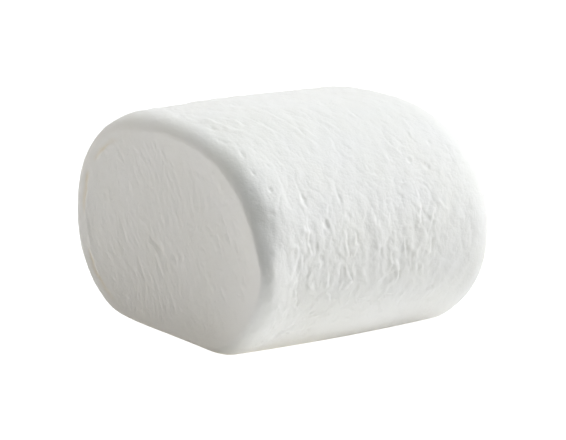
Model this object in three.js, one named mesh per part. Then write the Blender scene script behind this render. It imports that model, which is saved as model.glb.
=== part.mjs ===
// Marshmallow: one soft starch-dusted sweet, lying on its side on the flat foot it has slumped onto.
// Millimetres, +Z up. +X runs along the rope that the sweet was cut from, with the near cut face at
// -X; the crinkled side faces -Y. The origin is the middle of the foot.
import * as THREE from 'three';
import { ImprovedNoise } from 'three/addons/math/ImprovedNoise.js';
import { mergeVertices } from 'three/addons/utils/BufferGeometryUtils.js';

// driving dimensions
const length = 30;                 // along the rope, between the two cut faces
const halfWidth = 18.9;            // of the oval section, before the floor cuts it
const halfHeight = 12.6;
const axisHeight = 11.2;           // of the section's centre above the floor
const squareness = 2.25;           // superellipse power: 2 is an ellipse, more is boxier
const footSoftness = 1.0;          // how gently the side turns into the flat foot
const barrel = 0.026;              // swelling at mid length, as a share of the radius
const taper = -0.007;              // change of the radius from the near face to the far face

// slight unevenness of the oval: share of the radius for each number of lobes round it
const lobes = [
  { count: 3, cos: 0.009, sin: 0.001 },
  { count: 4, cos: -0.002, sin: -0.008 },
  { count: 5, cos: -0.007, sin: -0.003 },
];

// rounded edges between the cut faces and the side: quarter ellipses
const nearEdge = { along: 3.0, across: 2.1 };
const farEdge = { along: 3.3, across: 1.9 };
const edgeSquash = { share: 0.4, height: 2.5 };   // the edges are tighter close to the floor
// the near edge is tighter over the front, between these angles in degrees round the section, and
// tighter still at a corner of the front
const tight = { from: [80, 112], to: [205, 235], along: 0.5, across: 0.25 };
const corner = { angle: 183, spread: 15, along: 0.25, across: 0.5 };
// within this reach of the near edge the side falls off a little above the corner, and flares below it
const edgeReach = 4;
const crown = { from: [80, 108], to: [165, 180], depth: 0.26 };
const flare = { from: [178, 190], to: [203, 225], depth: 0.5 };
// the front part of the near face's edge stands out
const jut = { from: [45, 115], to: [205, 240], depth: 0.35 };
const dish = 0.15;                 // hollow of the near cut face

// on the front the side swells a little behind the near edge
const rim = { x: -13.2, halfLength: 2.0, from: [120, 145], to: [208, 230], height: 0.26 };

// mesh: cells along the length, across the width and up the height
const cells = { along: 54, across: 28, up: 17 };
const edgeShare = 0.13;            // share of the cells along the length in each rounded edge
const crowd = { share: 0.45, angle: 175 };        // cells lie closer together on the front

// relief of the side, which fades out towards the foot between two heights
const reliefFade = [0.4, 2.5];
const wrinkle = { depth: 0.035, along: 2.4, round: 6 };         // fine pull lines
// soft hollows and swells: two waves, each with its length along and its turns round the section
const swell = {
  depth: 0.05,
  waves: [{ along: 2.9, turns: 2, start: 0 }, { along: 4.3, turns: -3, start: 1 }],
};

// flakes of skin on the front: each climbs towards +X and drops at its rim. Middle of the rim,
// its run, its lean from upright in degrees with the foot towards +X, and its height
const flakeForm = { reach: 0.55, reachPerRun: 0.22, drop: 0.35, root: 0.1 };
const front = -0.2;                // the front is where the angle's cosine is below this
const flakes = [
  { x: -9.5, z: 13.8, run: 5.0, lean: -2, rise: 0.20 },
  { x: -11.4, z: 12.2, run: 4.2, lean: -10, rise: 0.14 },
  { x: -10.9, z: 8.4, run: 4.2, lean: 11, rise: 0.24 },
  { x: -7.1, z: 9.3, run: 2.0, lean: 10, rise: 0.18 },
  { x: -5.0, z: 12.7, run: 3.0, lean: 2, rise: 0.20 },
  { x: -4.5, z: 9.1, run: 2.3, lean: 23, rise: 0.28 },
  { x: -3.7, z: 12.6, run: 2.6, lean: 4, rise: 0.26 },
  { x: -1.3, z: 11.6, run: 5.0, lean: -50, rise: 0.12 },
  { x: 0.4, z: 9.3, run: 2.8, lean: -18, rise: 0.18 },
  { x: 1.7, z: 8.8, run: 2.9, lean: 8, rise: 0.30 },
  { x: 2.5, z: 11.3, run: 1.7, lean: 11, rise: 0.22 },
  { x: 3.1, z: 9.4, run: 2.1, lean: -4, rise: 0.22 },
  { x: 4.7, z: 14.3, run: 2.5, lean: -21, rise: 0.22 },
  { x: 6.2, z: 13.5, run: 3.0, lean: -30, rise: 0.24 },
  { x: 5.8, z: 11.0, run: 2.3, lean: -14, rise: 0.20 },
  { x: 4.2, z: 9.0, run: 1.5, lean: 13, rise: 0.18 },
];

// relief of the cut faces, which fades out towards their edges
const faceStreak = { depth: 0.05, width: 1.9, run: 6, lean: 34, bend: 0.8, bendRun: 9 };
// just inside the near face's edge, on the side away from the crinkles
const rimGroove = { depth: 0.1, inset: 1.3, width: 0.7, from: 6, to: 12 };
// dents in the near cut face: middle, length, width, depth and lean from upright in degrees
const faceDents = [
  { y: 0.5, z: 9.9, run: 3.2, width: 1.1, depth: 0.2, lean: 38 },
  { y: -2.2, z: 8.5, run: 1.8, width: 1.1, depth: 0.18, lean: 40 },
  { y: -2.3, z: 6.0, run: 8.5, width: 0.9, depth: 0.12, lean: 38 },
  { y: 7.6, z: 10.4, run: 3.5, width: 0.9, depth: 0.12, lean: 25 },
];

const noise = new ImprovedNoise();

function smoothMin(a, b, softness) {
  const near = Math.max(softness - Math.abs(a - b), 0) / softness;
  return Math.min(a, b) - (near * near * softness) / 4;
}

function smoothStep(low, high, value) {
  return THREE.MathUtils.smoothstep(value, low, high);
}

// radius of the section at an angle from +Y towards +Z, cut off by the floor
function outlineRadius(angle, scale) {
  const c = Math.cos(angle);
  const s = Math.sin(angle);
  const oval = (Math.abs(c / halfWidth) ** squareness + Math.abs(s / halfHeight) ** squareness)
    ** (-1 / squareness);
  let uneven = 1;
  for (const lobe of lobes) {
    uneven += lobe.cos * Math.cos(lobe.count * angle) + lobe.sin * Math.sin(lobe.count * angle);
  }
  const toFloor = s < -0.001 ? axisHeight / -s : 1e4;
  return smoothMin(oval * uneven * scale, toFloor, footSoftness);
}

// 1 at the middle of a bump that fades over a spread
function bump(value, middle, spread) {
  return Math.exp(-(((value - middle) / spread) ** 2));
}

// 1 between a band's two angles, each given as the degrees over which it fades
function between(angle, band) {
  const turned = THREE.MathUtils.radToDeg(angle);
  return smoothStep(...band.from, turned) * (1 - smoothStep(...band.to, turned));
}

function radiusAt(x, angle) {
  const share = (2 * x) / length;
  const swelling = (1 + barrel * (1 - share * share)) * (1 + (taper * share) / 2);
  const drop = crown.depth * between(angle, crown) - flare.depth * between(angle, flare);
  return outlineRadius(angle, swelling) - drop * (1 - smoothStep(0, edgeReach, x + length / 2));
}

// sizes of the two rounded edges at an angle round the section
function edgeSizes(angle) {
  const height = axisHeight + outlineRadius(angle, 1) * Math.sin(angle);
  const squash = 1 - edgeSquash.share * Math.exp(-height / edgeSquash.height);
  const tightness = between(angle, tight);
  const atCorner = bump(THREE.MathUtils.radToDeg(angle), corner.angle, corner.spread);
  return {
    near: {
      along: nearEdge.along * (1 - tight.along * tightness) * (1 - corner.along * atCorner) * squash,
      across: nearEdge.across * (1 - tight.across * tightness) * (1 - corner.across * atCorner) * squash,
    },
    far: { along: farEdge.along * squash, across: farEdge.across * squash },
  };
}

// a long narrow trough, as a share of its depth at a point u, v of a face
function trough(u, v, dent) {
  const lean = THREE.MathUtils.degToRad(dent.lean);
  const du = u - dent.y;
  const dv = v - dent.z;
  const alongIt = (du * Math.sin(lean) + dv * Math.cos(lean)) / (dent.run / 2);
  const acrossIt = (du * Math.cos(lean) - dv * Math.sin(lean)) / (dent.width / 2);
  return Math.exp(-(alongIt ** 4)) * Math.exp(-(acrossIt ** 2));
}

// height of a flake at a point of the front, x along and z up
function flakeHeight(x, z, flake) {
  const lean = THREE.MathUtils.degToRad(flake.lean);
  const half = flakeForm.reach + flakeForm.reachPerRun * flake.run;
  const dx = x - flake.x;
  const dz = flake.z - z;
  const along = (dx * Math.cos(lean) - dz * Math.sin(lean)) / half + 1;
  const across = (dz * Math.cos(lean) + dx * Math.sin(lean)) / (flake.run / 2);
  const outside = (Math.hypot(along, across) - 1) * half;
  const top = 1 - smoothStep(0, flakeForm.drop, outside);
  return flake.rise * THREE.MathUtils.lerp(flakeForm.root, 1, smoothStep(-1, 1, along)) * top;
}

// how far the side stands out from its smooth form
function sideRelief(x, angle, radius) {
  const height = axisHeight + radius * Math.sin(angle);
  const hoop = ((halfWidth + halfHeight) / 2) * angle;
  const pull = wrinkle.depth * noise.noise(x / wrinkle.along, hoop / wrinkle.round, 1.3);
  let soft = 0;
  for (const wave of swell.waves) {
    soft += swell.depth * Math.sin(x / wave.along + wave.turns * angle + wave.start);
  }
  const lip = rim.height * between(angle, rim) * bump(x, rim.x, rim.halfLength);
  const isFront = Math.cos(angle) < front;
  const laid = isFront ? Math.max(...flakes.map((flake) => flakeHeight(x, height, flake))) : 0;
  return pull + soft + lip + laid;
}

// how far a cut face stands out from its smooth form; inset is the distance to its edge
function faceRelief(y, z, inset, isNear) {
  const lean = THREE.MathUtils.degToRad(faceStreak.lean);
  const alongIt = y * Math.sin(lean) + z * Math.cos(lean);
  const acrossIt = y * Math.cos(lean) - z * Math.sin(lean);
  const bend = faceStreak.bend * Math.sin(alongIt / faceStreak.bendRun);
  const layer = isNear ? 0.6 : 5.6;
  const streaks = faceStreak.depth
    * noise.noise((acrossIt + bend) / faceStreak.width, alongIt / faceStreak.run, layer);
  if (!isNear) {
    return streaks;
  }
  const cut = faceDents.reduce((sum, dent) => sum + dent.depth * trough(y, z, dent), 0);
  const grooveShape = bump(inset, rimGroove.inset, rimGroove.width);
  return streaks - cut - rimGroove.depth * grooveShape * smoothStep(rimGroove.from, rimGroove.to, y);
}

// a point of the skin. u runs along the length, v and w across the width and up the height,
// each from -1 to 1 on the surface of a box
function skinPoint(u, v, w) {
  const out = Math.max(Math.abs(v), Math.abs(w));
  const turned = Math.atan2(w * halfHeight, v * halfWidth);
  const even = turned < -Math.PI / 2 ? turned + 2 * Math.PI : turned;    // its seam is under the foot
  const angle = even - crowd.share * Math.sin(even - THREE.MathUtils.degToRad(crowd.angle));
  const { near, far } = edgeSizes(angle);
  const standing = jut.depth * between(angle, jut);
  const cosine = Math.cos(angle);
  const sine = Math.sin(angle);

  if (Math.abs(u) > 0.9999) {
    const isNear = u < 0;
    const edge = isNear ? near : far;
    const hollow = isNear ? dish * (1 - out ** 4) - standing * out ** 4 : 0;
    const smoothX = (isNear ? -1 : 1) * (length / 2 - hollow);
    const full = radiusAt(smoothX, angle);
    const radius = out * (full - edge.across);
    const y = radius * cosine;
    const z = radius * sine + axisHeight;
    const fade = 1 - smoothStep(0.9, 1, out);
    const stand = faceRelief(y, z, (1 - out) * full, isNear) * fade;
    return new THREE.Vector3(smoothX + (isNear ? -stand : stand), y, z);
  }

  const t = (u + 1) / 2;
  let x;
  let inset = 0;
  let onSide = 1;
  if (t < edgeShare) {
    const turn = (t / edgeShare) * (Math.PI / 2);
    x = -length / 2 - standing + (near.along + standing) * (1 - Math.cos(turn));
    inset = near.across * (1 - Math.sin(turn));
    onSide = Math.sin(turn) ** 2;
  } else if (t > 1 - edgeShare) {
    const turn = ((1 - t) / edgeShare) * (Math.PI / 2);
    x = length / 2 - far.along * (1 - Math.cos(turn));
    inset = far.across * (1 - Math.sin(turn));
    onSide = Math.sin(turn) ** 2;
  } else {
    const way = (t - edgeShare) / (1 - 2 * edgeShare);
    x = THREE.MathUtils.lerp(-length / 2 + near.along, length / 2 - far.along, way);
  }
  const smooth = radiusAt(x, angle) - inset;
  const aboveFoot = smoothStep(...reliefFade, axisHeight + smooth * sine);
  const radius = smooth + sideRelief(x, angle, smooth) * onSide * aboveFoot;
  return new THREE.Vector3(x, radius * cosine, Math.max(axisHeight + radius * sine, 0));
}

function makeSkin() {
  const box = new THREE.BoxGeometry(2, 2, 2, cells.along, cells.across, cells.up);
  box.deleteAttribute('normal');
  box.deleteAttribute('uv');
  const skin = mergeVertices(box);
  const position = skin.attributes.position;
  for (let i = 0; i < position.count; i += 1) {
    const point = skinPoint(position.getX(i), position.getY(i), position.getZ(i));
    position.setXYZ(i, point.x, point.y, point.z);
  }
  // put the middle of the bounding box over the origin, with the foot on the floor
  skin.computeBoundingBox();
  const middle = skin.boundingBox.getCenter(new THREE.Vector3());
  skin.translate(-middle.x, -middle.y, 0);
  skin.computeVertexNormals();
  return skin;
}

const dustedSugarFoam = new THREE.MeshStandardMaterial({ color: 0xf4f2ec, roughness: 0.85, metalness: 0 });

const marshmallow = new THREE.Mesh(makeSkin(), dustedSugarFoam);
marshmallow.name = 'marshmallow';

const part = new THREE.Group();
part.add(marshmallow);

export default part;
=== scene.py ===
import math

import bmesh
import bpy
import numpy as np
from mathutils import Matrix, Vector, noise


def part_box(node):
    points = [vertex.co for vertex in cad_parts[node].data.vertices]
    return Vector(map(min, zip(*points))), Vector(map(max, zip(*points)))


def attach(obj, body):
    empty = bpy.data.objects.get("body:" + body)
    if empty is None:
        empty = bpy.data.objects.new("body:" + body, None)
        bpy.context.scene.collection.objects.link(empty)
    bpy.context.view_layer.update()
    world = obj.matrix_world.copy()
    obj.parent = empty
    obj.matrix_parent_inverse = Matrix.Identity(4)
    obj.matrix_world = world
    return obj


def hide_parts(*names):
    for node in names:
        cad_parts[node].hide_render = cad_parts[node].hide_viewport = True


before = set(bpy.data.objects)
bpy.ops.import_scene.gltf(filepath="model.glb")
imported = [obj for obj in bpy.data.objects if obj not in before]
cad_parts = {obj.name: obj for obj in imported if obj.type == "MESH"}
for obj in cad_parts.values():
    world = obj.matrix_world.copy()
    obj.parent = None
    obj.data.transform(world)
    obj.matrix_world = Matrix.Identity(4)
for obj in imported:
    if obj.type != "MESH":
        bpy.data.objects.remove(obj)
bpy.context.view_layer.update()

mm = 0.001


def hexColour(text):
    # sRGB hex to the linear values that shader sockets take
    out = []
    for i in (1, 3, 5):
        c = int(text[i:i + 2], 16) / 255
        out.append(c / 12.92 if c <= 0.04045 else ((c + 0.055) / 1.055) ** 2.4)
    return (*out, 1.0)


def addNode(tree, kind, settings=None, inputs=None, links=None):
    # settings are the node's own fields, inputs its fixed socket values, links its sockets fed by others
    node = tree.nodes.new(kind)
    for name, value in (settings or {}).items():
        setattr(node, name, value)
    for name, value in (inputs or {}).items():
        node.inputs[name].default_value = value
    for name, source in (links or {}).items():
        tree.links.new(source, node.inputs[name])
    return node


def smoothStep(low, high, value):
    t = np.clip((value - low) / (high - low), 0, 1)
    return t * t * (3 - 2 * t)


def smoothMin(a, b, softness):
    near = np.maximum(softness - np.abs(a - b), 0) / softness
    return np.minimum(a, b) - near * near * softness / 4


def bell(value, middle, spread):
    return np.exp(-((value - middle) / spread) ** 2)


def between(angle, limits):
    # 1 between two angles, each given as the degrees over which it fades
    turned = np.degrees(angle)
    return smoothStep(*limits[0], turned) * (1 - smoothStep(*limits[1], turned))


# every relief has its own layer of the noise
layers = {
    "waver": 4.7, "ragged": 19.0, "vary": 61.0, "bendAlong": 51.0, "bendUp": 57.0,
    "crumple": 23.0, "crumpleFine": 25.0, "wander": 5.5, "pull": 1.3, "pullFine": 6.4,
    "fold": 8.2, "crease": 12.1, "patch": 14.4, "bubble": 21.0,
    "near": 0.6, "nearFine": 0.6, "nearBend": 1.6, "far": 5.6, "farFine": 5.6, "farBend": 6.6,
    "dent": 31.0, "grooveBreak": 41.0, "grooveWander": 43.0,
    "grain": 3.3, "lump": 2.6, "lumpHalf": 3.8, "lumpQuarter": 7.4,
}


def noiseField(u, v, name):
    # Blender's own noise over a plane, from -1 to 1
    layer = layers[name]
    return np.array([noise.noise((a, b, layer)) for a, b in zip(u.tolist(), v.tolist())])


def doubleNoise(u, v, name, share, closer):
    # the same with a share of a closer noise on top
    return noiseField(u, v, name) + share * noiseField(closer * u, closer * v, name + "Fine")


def solidNoise(points, size, name):
    # the same noise read in space, so that it runs on round the edges
    return np.array([noise.noise((x, y, z)) for x, y, z in (points / size + layers[name]).tolist()])


def cellField(u, v, name):
    # distance to the nearest cell centre
    layer = layers[name]
    return np.array([noise.voronoi((a, b, layer))[0][0] for a, b in zip(u.tolist(), v.tolist())])


# the marshmallow's form, in mm, nearly the same as the CAD solid's. Angles go round the section from
# the back over the top, so the crinkled front is about 180
form = {
    "length": 30.0,          # between the two cut faces
    "halfWidth": 18.9,       # of the oval section
    "halfHeight": 12.6,
    "axisHeight": 11.2,      # of the section's centre above the table
    "squareness": 2.25,      # 2 is an ellipse
    # how softly the oval meets the table, front and back, and where one gives way to the other
    "footSoftness": (1.0, 1.25), "footBlend": (-0.3, 0.3),
    "barrel": 0.026,         # share by which it swells at mid length
    "taper": -0.007,         # below zero it is thicker at the near end
    # unevenness of the oval: waves round it, and their cosine and sine shares
    "lobes": ((3, 0.009, 0.001), (4, -0.002, -0.008), (5, -0.007, -0.003)),
    # rounded edges: how far they reach along the side, and across the cut faces
    "nearAlong": 3.0, "nearAcross": 2.1,
    "farAlong": 3.3, "farAcross": 1.9,
    # the near edge is tighter over the front: between these angles, shares taken off
    "tight": ((62, 98), (205, 235)), "tightAlong": 0.50, "tightAcross": 0.25,
    # and tighter still at a corner of the front: angle, spread, shares taken off
    "corner": (183, 15), "cornerAlong": 0.25, "cornerAcross": 0.50,
    # wider and narrower spots of the near edge: mm along, angle, spread
    "notches": ((0.8, 165.5, 4.5), (-0.45, 186, 8)),
    # near that edge the side falls off a little above the corner, and flares below it
    "crown": 0.26, "crownAngles": ((80, 108), (165, 180)),
    "flare": 0.50, "flareAngles": ((172, 184), (203, 225)), "edgeReach": 4.0,
    # the front part of the near face's edge stands out
    "jut": 0.35, "jutPower": 6, "jutAngles": ((45, 115), (205, 240)),
    "squashShare": 0.4, "squashHeight": 2.5,     # the edges are tighter near the table
    "dish": 0.15,            # hollow of the near face
    "cellsAlong": (50, 4), "cellsAcross": 98, "cellsUp": 64,
    "fineFace": 0.93,        # share of the near face, out from its middle, with cells half as large
    "edgeShare": 0.08,       # share of the cells along the length in each rounded edge
    "crowd": 0.5, "crowdAngle": 175.0,   # cells lie closer together on the crinkled side
}
meanRadius = (form["halfWidth"] + form["halfHeight"]) / 2


def outlineRadius(angle, scale):
    c, s = np.cos(angle), np.sin(angle)
    power = form["squareness"]
    oval = (np.abs(c / form["halfWidth"]) ** power + np.abs(s / form["halfHeight"]) ** power) ** (-1 / power)
    uneven = 1 + sum(a * np.cos(n * angle) + b * np.sin(n * angle) for n, a, b in form["lobes"])
    toFloor = form["axisHeight"] / np.maximum(-s, 0.001)      # upwards the floor is out of reach
    front, back = form["footSoftness"]
    softness = front + (back - front) * smoothStep(*form["footBlend"], c)
    return smoothMin(oval * uneven * scale, toFloor, softness)


def radiusAt(x, angle):
    share = 2 * x / form["length"]
    swell = (1 + form["barrel"] * (1 - share * share)) * (1 + form["taper"] * share / 2)
    drop = form["crown"] * between(angle, form["crownAngles"])
    drop -= form["flare"] * between(angle, form["flareAngles"])
    nearEdge = 1 - smoothStep(0, form["edgeReach"], x + form["length"] / 2)
    return outlineRadius(angle, swell) - drop * nearEdge


def edgeSizes(angle):
    turned = np.degrees(angle)
    height = form["axisHeight"] + outlineRadius(angle, 1) * np.sin(angle)
    squash = 1 - form["squashShare"] * np.exp(-height / form["squashHeight"])
    tight = between(angle, form["tight"])
    corner = bell(turned, *form["corner"])
    along = form["nearAlong"] * (1 - form["tightAlong"] * tight) * (1 - form["cornerAlong"] * corner)
    along += sum(more * bell(turned, middle, spread) for more, middle, spread in form["notches"])
    across = form["nearAcross"] * (1 - form["tightAcross"] * tight) * (1 - form["cornerAcross"] * corner)
    return along * squash, across * squash, form["farAlong"] * squash, form["farAcross"] * squash


# creases of the skin: from one side it climbs to a ragged rim, at the other it drops into a sharp groove
creases = {
    "reach": (0.5, 0.28), "climbPower": 1.5,     # width of the climb: least, and share of the run
    "ends": (0.5, 1.2),      # shares of the half run over which a crease dies out
    "size": 0.68, "drop": 0.09, "groove": 0.75, "grooveWidth": 0.13,
    "waver": 0.26, "waverSize": 0.9, "ragged": 0.13, "raggedSize": 0.38,
    # a crease comes and goes along its run: mean share, swing, size, least and most
    "vary": (0.9, 1.5), "varySize": 0.7, "varyLimits": (0.1, 1.6),
    "within": (0.7, 1.2),    # each is worked out only this close to its middle: share of the run, and mm
    # x, height, run, lean (degrees, its foot towards +X), bow towards +X, height of the rim.
    # A rim below zero drops towards -X
    "main": (
        (-9.3, 13.7, 4.7, -2, -0.4, 0.20), (-9.4, 17.1, 2.0, -1, 0.1, 0.12),
        (-11.8, 11.9, 4.4, -10, 0.5, 0.14), (-10.6, 11.5, 1.9, -5, 0.1, 0.16),
        (-10.9, 8.4, 4.0, 11, -0.3, 0.24), (-9.2, 9.3, 2.9, 8, -0.7, -0.16),
        (-6.6, 16.5, 1.2, -11, 0.0, 0.10), (-4.9, 12.7, 2.8, 2, -0.1, 0.20),
        (-4.5, 9.2, 2.4, 23, -0.1, 0.28), (-3.8, 12.6, 2.4, 4, 0.2, 0.26),
        (-7.2, 9.4, 1.9, 10, 0.0, 0.18), (-6.8, 7.4, 1.6, 33, 0.1, 0.14), (-5.4, 6.5, 1.7, 42, 0.1, 0.14),
        (-1.2, 14.9, 1.5, 8, 0.0, 0.15), (-4.2, 15.5, 1.4, -15, 0.0, 0.12),
        (-1.3, 11.6, 4.9, -50, 0.4, 0.13), (-2.4, 9.0, 1.9, 19, 0.1, 0.10),
        (0.1, 9.4, 2.9, -18, 0.6, 0.20), (1.6, 8.7, 2.8, 8, 0.3, 0.28), (0.8, 6.9, 1.1, -29, 0.0, 0.12),
        (2.5, 11.4, 1.6, 11, 0.0, 0.22), (3.1, 9.4, 2.0, -4, 0.2, 0.22), (5.0, 16.3, 1.2, 1, 0.0, 0.15),
        (4.7, 14.4, 2.3, -21, 0.1, 0.22), (6.2, 13.5, 2.9, -30, -0.1, 0.24),
        (5.6, 10.9, 2.3, -14, 0.3, 0.22), (3.9, 11.0, 1.8, 15, 0.0, 0.18), (4.2, 9.0, 1.5, 13, 0.0, 0.18),
        (5.2, 8.5, 1.3, 8, 0.0, 0.12), (3.0, 17.1, 0.9, 2, 0.0, 0.10), (7.6, 15.5, 0.9, 31, 0.0, 0.10),
        (8.7, 14.5, 0.9, 30, 0.0, 0.10), (10.3, 13.8, 2.2, 16, 0.1, 0.07),
        (11.1, 11.3, 2.4, -15, 0.1, 0.07),
    ),
    # the small ones lie at random: how many, tallest rim and shares of it, which way they drop, runs,
    # spread of the leans and of the bows
    "seed": 11, "small": 200, "smallRim": 0.10, "smallShares": (0.3, 1.1), "smallWays": (1, 1, 1, -1),
    "smallRun": (0.4, 1.8), "smallLean": 36, "smallBow": 0.25,
    # where they lie: middle and half length along, middle and half height. They bend with the skin
    "zone": (-1.5, 11.5, 10.8, 5.6), "bend": 1.3, "bendSize": 2.4,
    # fine ones low on the side, fanning out behind the near corner and faint along the rest:
    # how many, tallest rim, lean and its spread, along from and to, heights from and to
    "low": ((90, 0.22, -38, 12, -14.0, -6.0, 2.0, 7.4), (80, 0.13, 0, 40, -7.0, 10.0, 2.0, 6.6)),
    "lowRun": (0.8, 2.4),
    # pits among them: x, height, size, depth
    "pits": (
        (-4.8, 17.1, 0.36, 0.11), (-7.2, 15.2, 0.42, 0.10), (-8.8, 12.7, 0.36, 0.08),
        (-8.0, 11.0, 0.4, 0.08), (-5.7, 10.0, 0.35, 0.08), (-4.3, 15.5, 0.3, 0.08),
        (-0.6, 11.4, 0.35, 0.13), (6.7, 15.6, 0.3, 0.06), (-0.8, 18.2, 0.35, 0.06),
        (-9.3, 17.5, 0.35, 0.09),
    ),
    "pitHeight": 0.6, "pitRagged": 3.5, "pitEdge": (0.35, 1.0),      # taller than wide, with ragged edges
    # crumpled skin between them: round lumps with sharp valleys
    "crumple": 0.14, "crumpleSize": 1.9, "crumpleFine": (0.5, 2.1), "crumpleMean": 0.25,
    # on the top, the upper side and the back: x, angle, run, lean from the way round, height of the rim
    "topMain": (
        (-9.4, 114, 3.3, 15, 0.14), (-11.3, 108, 3.3, 4, 0.13), (-10.8, 121, 2.4, 26, 0.11),
        (-4.7, 114, 3.2, 1, 0.09), (-4.4, 129, 2.6, 7, 0.11), (-4.0, 137, 1.9, 17, 0.06),
        (-12.2, 127, 1.8, 7, 0.09), (-7.6, 115, 2.3, 1, 0.11), (-7.3, 124, 2.4, 12, 0.10),
        (-9.0, 136, 2.2, 31, 0.05), (-9.7, 144, 2.2, 3, 0.05), (3.9, 124, 2.1, -10, 0.08),
        (-3.3, 132, 1.9, 3, 0.09), (0.1, 130, 1.9, 8, 0.08), (-1.1, 146, 1.4, 38, 0.07),
        (-0.5, 152, 1.1, -5, 0.08), (0.2, 155, 1.6, 75, 0.06), (5.0, 147, 1.3, 24, 0.08),
        (9.0, 135, 2.5, -8, 0.06), (4.5, 144, 1.4, 11, 0.05),
    ),
    "topGain": 1.3,
    # and small ones between them, drawn as above
    "topSeed": 5, "top": 280, "topRim": 0.065, "topShares": (0.2, 1.2), "topWays": (1, 1, -1),
    "topRun": (0.6, 2.3), "topLean": 20, "topAlong": (-13, 13.5), "topAngles": (-40, 160),
    # pits of the upper side: x, angle, size, depth
    "topPits": (
        (-12.7, 116, 0.45, 0.14), (-13.4, 130, 0.3, 0.14), (-13.0, 138, 0.3, 0.14),
        (-11.3, 146, 0.3, 0.10), (-13.2, 131.5, 0.25, 0.12), (-13.2, 140, 0.25, 0.12),
        (-13.4, 148, 0.3, 0.14), (-12.6, 155, 0.3, 0.12), (-9.2, 118, 0.45, 0.08), (5.6, 152, 0.35, 0.10),
        (9.5, 146, 0.4, 0.08), (7.4, 155, 0.4, 0.10), (12.4, 152, 0.4, 0.08), (5.6, 135, 0.35, 0.05),
        (-13.4, 163, 0.35, 0.07),
    ),
    "topPitEdge": (0.3, 1.1),
}


def creaseShape(x, z, crease, waver):
    # height of the skin beside a crease, and depth of its groove
    x0, z0, run, lean, bow, rim = crease
    lean = math.radians(lean)
    across = (x - x0) * math.cos(lean) - (z0 - z) * math.sin(lean)
    along = ((z0 - z) * math.cos(lean) + (x - x0) * math.sin(lean)) / (run / 2)
    past = across - bow * (1 - along * along) + waver          # mm beyond the crease
    if rim < 0:
        past = -past
    least, share = creases["reach"]
    climb = np.clip(1 + past / (least + share * run), 0, 1) ** creases["climbPower"]
    height = climb * (1 - smoothStep(0, creases["drop"], past))
    groove = creases["groove"] * np.exp(-np.abs(past - creases["drop"]) / creases["grooveWidth"])
    tall = creases["size"] * abs(rim) * (1 - smoothStep(*creases["ends"], np.abs(along)))
    return tall * height, tall * groove


def layCreases(x, z, parts, waver):
    # the highest rim shows, and the deepest groove
    top, groove = np.zeros(len(x)), np.zeros(len(x))
    mean, swing = creases["vary"]
    size = creases["varySize"]
    share = np.clip(mean + swing * noiseField(x / size, z / size, "vary"), *creases["varyLimits"])
    ofRun, more = creases["within"]
    for crease in parts:
        reach = ofRun * crease[2] + more
        near = (np.abs(x - crease[0]) < reach) & (np.abs(z - crease[1]) < reach)
        height, depth = creaseShape(x[near], z[near], crease, waver[near])
        top[near] = np.maximum(top[near], height)
        groove[near] = np.maximum(groove[near], depth)
    return (top - groove) * share


def zoneShare(x, z):
    x0, halfLength, z0, halfHeight = creases["zone"]
    return np.exp(-((x - x0) / halfLength) ** 4 - ((z - z0) / halfHeight) ** 4)


def wavering(u, v):
    size, fine = creases["waverSize"], creases["raggedSize"]
    return (creases["waver"] * noiseField(u / size, v / size, "waver")
            + creases["ragged"] * noiseField(u / fine, v / fine, "ragged"))


def smallCreases():
    rng = np.random.default_rng(creases["seed"])
    x0, halfLength, z0, halfHeight = creases["zone"]
    parts = []
    for _ in range(creases["small"]):
        cx = rng.uniform(x0 - halfLength, x0 + halfLength)
        cz = rng.uniform(z0 - halfHeight, z0 + halfHeight)
        rim = creases["smallRim"] * rng.uniform(*creases["smallShares"]) * zoneShare(cx, cz)
        rim *= rng.choice(creases["smallWays"])
        parts.append((cx, cz, rng.uniform(*creases["smallRun"]), rng.normal(0, creases["smallLean"]),
                      rng.normal(0, creases["smallBow"]), rim))
    for count, tallest, lean, spread, left, right, bottom, top in creases["low"]:
        for _ in range(count):
            cx, cz = rng.uniform(left, right), rng.uniform(bottom, top)
            run = rng.uniform(*creases["lowRun"])
            turned, bow = rng.normal(lean, spread), rng.normal(0, creases["smallBow"])
            parts.append((cx, cz, run, turned, bow, tallest * rng.uniform(*creases["smallShares"])))
    return parts


def crinkleRelief(x, z):
    waver = wavering(x, z)
    bend, size = creases["bend"], creases["bendSize"]
    bentX = x + bend * noiseField(x / size, z / size, "bendAlong")
    bentZ = z + bend * noiseField(x / size, z / size, "bendUp")
    out = layCreases(x, z, creases["main"], waver) + layCreases(bentX, bentZ, smallCreases(), waver)
    for cx, cz, size, depth in creases["pits"]:
        away = np.hypot(x - cx, creases["pitHeight"] * (z - cz)) / size + creases["pitRagged"] * waver
        out -= depth * (1 - smoothStep(*creases["pitEdge"], away))
    size = creases["crumpleSize"]
    share, closer = creases["crumpleFine"]
    u, v = (x + waver) / size, (z + waver) / size
    crumple = np.abs(noiseField(u, v, "crumple"))
    crumple += share * np.abs(noiseField(closer * u, closer * v, "crumpleFine"))
    return out + creases["crumple"] * zoneShare(x, z) * (crumple - creases["crumpleMean"])


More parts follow.
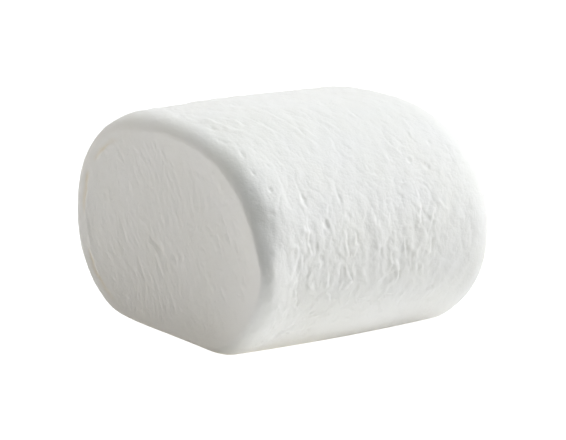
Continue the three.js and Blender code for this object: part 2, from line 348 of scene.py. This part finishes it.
def topRelief(x, hoop):
    # hoop is the distance round the section
    rng = np.random.default_rng(creases["topSeed"])
    toHoop = math.radians(1) * meanRadius
    parts = [(cx, -toHoop * turned, run, lean, 0.0, creases["topGain"] * rim)
             for cx, turned, run, lean, rim in creases["topMain"]]
    for _ in range(creases["top"]):
        rim = creases["topRim"] * rng.uniform(*creases["topShares"]) * rng.choice(creases["topWays"])
        cx, turned = rng.uniform(*creases["topAlong"]), rng.uniform(*creases["topAngles"])
        parts.append((cx, -toHoop * turned, rng.uniform(*creases["topRun"]),
                      rng.normal(0, creases["topLean"]), rng.normal(0, creases["smallBow"]), rim))
    waver = wavering(x, hoop)
    out = layCreases(x, -hoop, parts, waver)
    for cx, turned, size, depth in creases["topPits"]:
        away = np.hypot(x - cx, hoop - toHoop * turned) / size + waver
        out -= depth * (1 - smoothStep(*creases["topPitEdge"], away))
    return out


# the rest of the skin's relief, in mm, outwards is positive
skin = {
    # slow waves of the side: mm along, turns round the section, start
    "swell": 0.05, "waves": ((2.9, 2, 0), (4.3, -3, 1)),
    "wander": 0.9, "wanderAlong": 6.0, "wanderRound": 8.0,      # the lines round the side wander
    "pull": 0.008, "pullAlong": 0.9, "pullRound": 3.4, "pullFine": (0.6, 2.2),      # soft lines
    "fold": 0.07, "foldAlong": 1.7, "foldRound": 2.8, "foldLean": 0.5,      # broad soft hollows
    # short creases, narrow valleys where a stretched noise crosses zero, only in patches
    "crease": 0.045, "creaseAlong": 1.1, "creaseRound": 2.6, "creaseWidth": 0.16,
    "patchAlong": 2.6, "patchRound": 2.8, "patchEdge": (0.05, 0.4),
    "bubble": 0.05, "bubbleCell": 1.8, "bubbleSize": 0.12,      # scattered pits where bubbles have broken
    # on the front the side swells a little behind the near edge: height, x and half length, angles,
    # and how far the swelling bends towards +X, at which angle and spread
    "rim": 0.26, "rimAlong": (-13.2, 2.0), "rimAngles": ((120, 145), (208, 230)),
    "rimBends": ((0.6, 165, 6), (-0.2, 188, 10)),
    "crinkled": -0.2,        # the front is crinkled where the angle's cosine is below this
    # powder and lumps between fine valleys, all over: heights and sizes, and their share on the cut faces
    "grain": 0.014, "grainSize": 0.36, "lump": 0.05, "lumpSize": 1.1, "faceShare": 0.9,
    "lumps": (("lump", 1.0, 1.0), ("lumpHalf", 0.55, 2.0), ("lumpQuarter", 0.3, 3.9)),
    "footFade": (0.2, 2.0), "powderFade": (0.1, 1.5),       # heights over which they come in above the foot
    "paintedFootShade": (0.1, 0.6),     # painted warm shade along the foot where it meets the table, fading out between these heights
}


def sideRelief(x, angle, radius):
    height = form["axisHeight"] + radius * np.sin(angle)
    hoop = meanRadius * angle
    waves = [np.sin(x / size + turns * angle + start) for size, turns, start in skin["waves"]]
    out = skin["swell"] * sum(waves)
    u = x + skin["wander"] * noiseField(x / skin["wanderAlong"], hoop / skin["wanderRound"], "wander")
    pull = doubleNoise(u / skin["pullAlong"], hoop / skin["pullRound"], "pull", *skin["pullFine"])
    out += skin["pull"] * pull
    slant = x + skin["foldLean"] * hoop
    out += skin["fold"] * noiseField(slant / skin["foldAlong"], hoop / skin["foldRound"], "fold")
    line = np.abs(noiseField(u / skin["creaseAlong"], hoop / skin["creaseRound"], "crease"))
    patch = noiseField(x / skin["patchAlong"], hoop / skin["patchRound"], "patch")
    valley = 1 - smoothStep(0, skin["creaseWidth"], line)
    out -= skin["crease"] * smoothStep(*skin["patchEdge"], patch) * valley
    away = cellField(x / skin["bubbleCell"], hoop / skin["bubbleCell"], "bubble")
    out -= skin["bubble"] * (1 - smoothStep(0, skin["bubbleSize"], away))
    bent = sum(shift * bell(np.degrees(angle), middle, spread) for shift, middle, spread in skin["rimBends"])
    out += skin["rim"] * between(angle, skin["rimAngles"]) * bell(x - bent, *skin["rimAlong"])
    front = np.cos(angle) < skin["crinkled"]
    out[front] += crinkleRelief(x[front], height[front])
    above = (np.sin(angle) > 0) | (np.cos(angle) > 0)       # all but the lower front
    out[above] += topRelief(x[above], hoop[above])
    return out


# relief of the cut faces
face = {
    # fine streaks: height, width, run, the finer ones on top, and their lean from upright
    "streak": 0.04, "streakWidth": 0.55, "streakRun": 1.5, "streakFine": (0.6, 2.3), "lean": 34.0,
    "bend": 0.7, "bendSize": 7.0,                       # they bend by this much
    "lip": 0.05, "lipInset": 1.6, "lipWidth": 0.9,      # the face stands out a little inside its edge
    # a broken groove just inside the edge, on the side away from the crinkles: it comes in over these y
    "groove": 0.07, "grooveInset": 1.0, "grooveWidth": 0.3, "grooveFrom": (8, 13),
    "grooveBreak": (-0.4, 0.2), "breakSize": 3.0, "grooveWander": 0.35, "wanderSize": 1.6,
    "edgeFade": (0.96, 1.0),     # shares of the way out over which the relief fades away
    # dents: y, z, run, width, depth, lean from upright
    "dents": (
        (2.4, 10.2, 4.6, 0.8, 0.07, 66), (1.1, 9.7, 1.8, 0.9, 0.15, 66), (-1.9, 9.1, 1.1, 0.9, 0.16, 64),
        (-3.2, 9.5, 0.9, 0.6, 0.08, 0), (-0.9, 5.0, 6.6, 0.4, 0.04, 36), (8.2, 10.1, 2.6, 0.7, 0.09, 33),
        (4.6, 6.4, 3.9, 0.5, 0.06, 32), (-0.5, 17.0, 2.0, 0.5, 0.06, 33),
        (-10.0, 13.7, 8.0, 0.5, 0.04, 17), (-11.8, 14.3, 4.2, 0.5, 0.06, 26),
        (-2.9, 14.5, 1.6, 0.5, 0.05, 35), (-2.6, 6.6, 1.8, 0.5, 0.06, 10),
    ),
    "dentWaver": 0.25, "dentWaverSize": 1.5,            # their sides are uneven
}


def leaningAxes(y, z, lean):
    # distances along a line that leans from upright towards +Y, and across it
    lean = math.radians(lean)
    return y * math.sin(lean) + z * math.cos(lean), y * math.cos(lean) - z * math.sin(lean)


def trough(y, z, dent):
    cy, cz, run, width, depth, lean = dent
    along, across = leaningAxes(y - cy, z - cz, lean)
    return depth * np.exp(-(along / (run / 2)) ** 4 - (across / (width / 2)) ** 2)


def rimGroove(y, z, rim):
    # rim is the distance in from the edge
    size = face["breakSize"]
    broken = smoothStep(*face["grooveBreak"], noiseField(y / size, z / size, "grooveBreak"))
    size = face["wanderSize"]
    inset = rim + face["grooveWander"] * noiseField(y / size, z / size, "grooveWander")
    deep = bell(inset, face["grooveInset"], face["grooveWidth"])
    return deep * smoothStep(*face["grooveFrom"], y) * broken


def faceRelief(y, z, rim, isNear):
    name = "near" if isNear else "far"
    along, across = leaningAxes(y, z, face["lean"])
    size = face["bendSize"]
    bent = across + face["bend"] * noiseField(along / size, across / size, name + "Bend")
    u, v = bent / face["streakWidth"], along / face["streakRun"]
    out = face["streak"] * doubleNoise(u, v, name, *face["streakFine"])
    out += face["lip"] * bell(rim, face["lipInset"], face["lipWidth"])
    if isNear:
        size = face["dentWaverSize"]
        waver = face["dentWaver"] * noiseField(along / size, across / size, "dent")
        for dent in face["dents"]:
            out -= trough(y + waver, z, dent)
        out -= face["groove"] * rimGroove(y, z, rim)
    return out


def alongLength(u, angle):
    # place along X, distance in from the full oval, and how far the normal leans along X
    half, share = form["length"] / 2, form["edgeShare"]
    nearAlong, nearAcross, farAlong, farAcross = edgeSizes(angle)
    jut = form["jut"] * between(angle, form["jutAngles"])
    t = (u + 1) / 2
    way = (t - share) / (1 - 2 * share)
    x = (-half + nearAlong) * (1 - way) + (half - farAlong) * way
    inset, facing = np.zeros(len(u)), np.zeros(len(u))

    near = t < share
    turn = t[near] / share * math.pi / 2
    x[near] = -half - jut[near] + (nearAlong + jut)[near] * (1 - np.cos(turn))
    inset[near] = nearAcross[near] * (1 - np.sin(turn))
    facing[near] = -np.cos(turn)
    far = t > 1 - share
    turn = (1 - t[far]) / share * math.pi / 2
    x[far] = half - farAlong[far] * (1 - np.cos(turn))
    inset[far] = farAcross[far] * (1 - np.sin(turn))
    facing[far] = np.cos(turn)
    return x, inset, facing


def facePoints(out, angle, isNear):
    # a cut face, out goes from 0 at its middle to 1 where the rounded edge begins
    _, nearAcross, _, farAcross = edgeSizes(angle)
    standing = np.full(len(out), form["length"] / 2)
    if isNear:
        jut = form["jut"] * between(angle, form["jutAngles"])
        standing += jut * out ** form["jutPower"] - form["dish"] * (1 - out ** 4)
    side = -1 if isNear else 1
    full = radiusAt(side * standing, angle)
    radius = out * (full - (nearAcross if isNear else farAcross))
    y, z = radius * np.cos(angle), radius * np.sin(angle) + form["axisHeight"]
    rim = (1 - out) * full
    standing += faceRelief(y, z, rim, isNear) * (1 - smoothStep(*face["edgeFade"], out))
    # painted shade: the colour is darker and warmer in the near face's groove, and on the far face along the
    # foot where it meets the table
    paintedShade = rimGroove(y, z, rim) if isNear else 1 - smoothStep(*skin["paintedFootShade"], z)
    return np.column_stack((side * standing, y, z)), paintedShade


def addPowder(points, normal):
    powder = skin["grain"] * solidNoise(points, skin["grainSize"], "grain")
    for name, share, closer in skin["lumps"]:
        powder += share * skin["lump"] * np.abs(solidNoise(points, skin["lumpSize"] / closer, name))
    powder *= 1 - (1 - skin["faceShare"]) * np.abs(normal[:, 0])
    return points + normal * (powder * smoothStep(*skin["powderFade"], points[:, 2]))[:, None]


def skinPoints(box):
    # carries the points of a subdivided 2 x 2 x 2 box to the skin, in mm, and says where the colour gets
    # painted shade: along the foot where it meets the table and in the near face's groove
    u, v, w = box.T
    out = np.maximum(np.abs(v), np.abs(w))
    turned = np.arctan2(w * form["halfHeight"], v * form["halfWidth"])
    turned = np.where(turned < -math.pi / 2, turned + 2 * math.pi, turned)   # the seam is under the foot
    angle = turned - form["crowd"] * np.sin(turned - math.radians(form["crowdAngle"]))
    c, s = np.cos(angle), np.sin(angle)

    x, inset, facing = alongLength(u, angle)
    smooth = radiusAt(x, angle) - inset
    onSide = 1 - facing ** 2
    aboveFoot = smoothStep(*skin["footFade"], form["axisHeight"] + smooth * s)
    radius = smooth + sideRelief(x, angle, smooth) * onSide * aboveFoot
    points = np.column_stack((x, radius * c, form["axisHeight"] + radius * s))
    steep = np.sqrt(onSide)
    normal = np.column_stack((facing, steep * c, steep * s))
    # painted contact shade: darker and warmer towards the foot's edge on the table
    paintedShade = 1 - smoothStep(*skin["paintedFootShade"], points[:, 2])

    ends = ((u < -0.9999, True), (u > 0.9999, False))
    for onFace, isNear in ends:
        points[onFace], paintedShade[onFace] = facePoints(out[onFace], angle[onFace], isNear)
        normal[onFace] = (-1 if isNear else 1, 0, 0)

    points = addPowder(points, normal)
    points[:, 2] = np.maximum(points[:, 2], 0)
    return points, paintedShade


def cutAlong(obj, axis, cells):
    # divides every edge that runs along one axis into that many cells
    mesh = bmesh.from_edit_mesh(obj.data)
    for edge in mesh.edges:
        way = edge.verts[1].co - edge.verts[0].co
        edge.select_set(abs(way[axis]) > 1e-6)
    bmesh.update_edit_mesh(obj.data)
    bpy.ops.mesh.subdivide(number_cuts=cells - 1)


def makeMarshmallow():
    bpy.ops.object.select_all(action="DESELECT")
    bpy.ops.mesh.primitive_cube_add(size=2, location=(0, 0, 0))
    obj = bpy.context.object
    obj.name = obj.data.name = "marshmallowSkin"
    bpy.ops.object.mode_set(mode="EDIT")
    bpy.context.tool_settings.mesh_select_mode = (False, True, False)
    for cells in form["cellsAlong"]:    # in two goes, as one subdivide takes at most 100 cuts
        cutAlong(obj, 0, cells)
    cutAlong(obj, 1, form["cellsAcross"])
    cutAlong(obj, 2, form["cellsUp"])
    # the near cut face shows most
    bpy.context.tool_settings.mesh_select_mode = (False, False, True)
    mesh = bmesh.from_edit_mesh(obj.data)
    for f in mesh.faces:
        m = f.calc_center_median()
        f.select_set(m.x < -0.999 and max(abs(m.y), abs(m.z)) < form["fineFace"])
    bmesh.update_edit_mesh(obj.data)
    bpy.ops.mesh.subdivide(number_cuts=1)
    bpy.ops.object.mode_set(mode="OBJECT")

    co = np.empty(len(obj.data.vertices) * 3)
    obj.data.vertices.foreach_get("co", co)
    points, paintedShade = skinPoints(co.reshape(-1, 3))
    obj.data.vertices.foreach_set("co", (points * mm).ravel())
    # the painted shade mask goes to the material as an attribute
    obj.data.attributes.new("paintedShade", "FLOAT", "POINT").data.foreach_set("value", paintedShade)
    obj.data.update()
    bpy.ops.object.shade_smooth()
    print("marshmallow:", len(points), "points")
    return obj


def colourMix(tree, first, second, factor):
    # sockets 0, 6 and 7 of a colour mix are its factor and its two colours
    node = addNode(tree, "ShaderNodeMix", {"data_type": "RGBA"}, {7: hexColour(second)}, {0: factor})
    if isinstance(first, str):
        node.inputs[6].default_value = hexColour(first)
    else:
        tree.links.new(first, node.inputs[6])
    return node.outputs[2]


def marshmallowFoam():
    # whipped sugar and gelatin foam, rolled in starch: white and dull, light soaks in a little way
    mat = bpy.data.materials.new("starchDustedSugarFoam")
    mat.use_nodes = True
    tree = mat.node_tree
    tree.nodes.clear()
    coords = addNode(tree, "ShaderNodeTexCoord")
    mottle = addNode(tree, "ShaderNodeTexNoise", {"noise_dimensions": "3D"},
                     {"Scale": 1 / (5.0 * mm), "Detail": 3.0, "Roughness": 0.5},
                     {"Vector": coords.outputs["Object"]})
    foam = colourMix(tree, "#f6f4ee", "#f9f8f4", mottle.outputs["Fac"])
    # painted shade: along the foot where it meets the table and in the near face's groove the colour is
    # warmer and a little darker
    paintedShadeNode = addNode(tree, "ShaderNodeAttribute", {"attribute_name": "paintedShade"})
    colour = colourMix(tree, foam, "#efe7d6", paintedShadeNode.outputs["Fac"])
    # starch grains stand as a fine nap, drawn at a third of a millimetre so that it shows
    grain = addNode(tree, "ShaderNodeTexNoise", {"noise_dimensions": "3D"},
                    {"Scale": 1 / (0.30 * mm), "Detail": 2.0, "Roughness": 0.6},
                    {"Vector": coords.outputs["Object"]})
    bump = addNode(tree, "ShaderNodeBump", {}, {"Strength": 1.0, "Distance": 0.044 * mm},
                   {"Height": grain.outputs["Fac"]})
    shader = addNode(tree, "ShaderNodeBsdfPrincipled", {"subsurface_method": "RANDOM_WALK"}, {
        "Roughness": 0.75,
        "IOR": 1.4,
        "Specular IOR Level": 0.3,
        "Subsurface Weight": 1.0,
        "Subsurface Radius": (1.0, 1.0, 1.0),
        "Subsurface Scale": 0.05 * mm,
    }, {"Base Color": colour, "Normal": bump.outputs["Normal"]})
    addNode(tree, "ShaderNodeOutputMaterial", {}, {}, {"Surface": shader.outputs["BSDF"]})
    return mat


def plainPaper(name, colour, glow, tint):
    # white card on a light table
    mat = bpy.data.materials.new(name)
    mat.use_nodes = True
    shader = mat.node_tree.nodes["Principled BSDF"]
    shader.inputs["Base Color"].default_value = hexColour(colour)
    shader.inputs["Roughness"].default_value = 0.9
    shader.inputs["Specular IOR Level"].default_value = 0.0
    shader.inputs["Emission Color"].default_value = hexColour(tint)
    shader.inputs["Emission Strength"].default_value = glow
    return mat


marshmallow = makeMarshmallow()
marshmallow.data.materials.append(marshmallowFoam())

# the piece is centred over the CAD solid's foot, and stays a hair inside that solid's box
cadLow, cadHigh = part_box("marshmallow")
clearance = 0.004 * mm
co = np.array([v.co for v in marshmallow.data.vertices])
low, high = co.min(0), co.max(0)
shift = (Vector(cadLow) + Vector(cadHigh)) / 2 - Vector((low + high) / 2)
shift.z = 0
inside = np.minimum((np.array(cadHigh) - np.array(cadLow) - clearance) / (high - low), 1)
print("fitted by", inside.round(4))
marshmallow.data.transform(Matrix.Diagonal((*inside, 1)) @ Matrix.Translation(shift))
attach(marshmallow, "root")
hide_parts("marshmallow")
print("piece in place")


# the sheets lie a hair apart, lengths in mm
stage = {
    "size": 4000,
    "table": "#fafafa",      # pale lit table, which lights the sweet from below
    "tableGlow": 0.11, "tableTint": "#fffcf4",
    # bright cards on it, under the bulge of the crinkled side and along the foot:
    # middle, length and width, and glow
    "cards": {
        "bounce": (-5, -22, 19, 16, 0.15),
        "footBounceNear": (-8.8, -11.4, 11, 5.2, 0.30),
        "footBounceFar": (5.2, -11.4, 17, 5.2, 0.20),
    },
    "cardHeight": 0.005,
    "sheet": "#909090",      # lit sheet over it that only the lens sees, overexposed to white
    "sheetGlow": 1.1, "sheetTint": "#ffffff",
    "sheetHeight": 0.01,
}


def addSheet(name, colour, glow, tint, size, place):
    bpy.ops.object.select_all(action="DESELECT")
    bpy.ops.mesh.primitive_plane_add(size=mm, location=Vector(place) * mm)
    sheet = bpy.context.object
    sheet.name = name
    sheet.scale = (*size, 1)
    sheet.data.materials.append(plainPaper(name + "Card", colour, glow, tint))
    return sheet


whole = (stage["size"], stage["size"])
table = addSheet("table", stage["table"], stage["tableGlow"], stage["tableTint"], whole, (0, 0, 0))
table.visible_camera = False
for name, (x, y, length, width, glow) in stage["cards"].items():
    card = addSheet(name, stage["table"], glow, stage["tableTint"], (length, width),
                    (x, y, stage["cardHeight"]))
    card.visible_camera = False
sheet = addSheet("litSheet", stage["sheet"], stage["sheetGlow"], stage["sheetTint"], whole,
                 (0, 0, stage["sheetHeight"]))
for ray in ("diffuse", "glossy", "transmission", "volume_scatter", "shadow"):
    setattr(sheet, "visible_" + ray, False)

world = bpy.data.worlds.new("studio")
bpy.context.scene.world = world
world.use_nodes = True
world.node_tree.nodes["Background"].inputs["Strength"].default_value = 0.0

# softboxes: way round from -Y towards +X, height in degrees, size in m, power in W, tint
lights = {
    "key": (60, 40, 0.45, 4.05, "#fcfcff"),
    "keyTop": (60, 68, 0.45, 2.95, "#f9fdff"),
    "lowBack": (150, 12, 0.3, 0.42, "#f2efff"),
    "leftLow": (210, 12, 0.3, 1.05, "#ffeae9"),
    "leftHigh": (210, 40, 0.45, 1.62, "#fcfff6"),
}


def wayTo(azimuth, elevation):
    a, e = math.radians(azimuth), math.radians(elevation)
    return Vector((math.sin(a) * math.cos(e), -math.cos(a) * math.cos(e), math.sin(e)))


def placeLight(name, azimuth, elevation, size, power, tint, distance=0.8, aimHeight=12):
    bpy.ops.object.light_add(type="AREA")
    lamp = bpy.context.object
    lamp.name = name
    way = wayTo(azimuth, elevation)
    lamp.location = way * distance + Vector((0, 0, aimHeight * mm))
    lamp.rotation_euler = way.to_track_quat("Z", "Y").to_euler()
    lamp.data.shape = "DISK"
    lamp.data.size = size
    lamp.data.energy = power
    lamp.data.color = hexColour(tint)[:3]


for name, settings in lights.items():
    placeLight(name, *settings)


# a long lens, looking at the corner of the near cut face. Distances in mm, the aim is right, down and height
view = {
    "azimuth": -35.0, "elevation": 13.05, "distance": 350.0, "aim": (0.39, 0.12, 11.0),
    "focal": 206.0, "sensor": 36.0, "clip": (0.01, 20),
}


def placeCamera():
    back = wayTo(view["azimuth"], view["elevation"])
    a = math.radians(view["azimuth"])
    right = Vector((math.cos(a), math.sin(a), 0))
    up = back.cross(right)
    sideways, down, height = view["aim"]
    aim = Vector((0, 0, height)) + right * sideways - up * down
    bpy.ops.object.camera_add(location=(aim + back * view["distance"]) * mm + shift)
    cam = bpy.context.object
    cam.rotation_euler = back.to_track_quat("Z", "Y").to_euler()
    cam.data.sensor_width = view["sensor"]
    cam.data.lens = view["focal"]
    cam.data.clip_start, cam.data.clip_end = view["clip"]
    bpy.context.scene.camera = cam


placeCamera()
bpy.context.scene.view_settings.view_transform = "Standard"
bpy.context.scene.view_settings.look = "None"
print("stage, lights and camera in place")
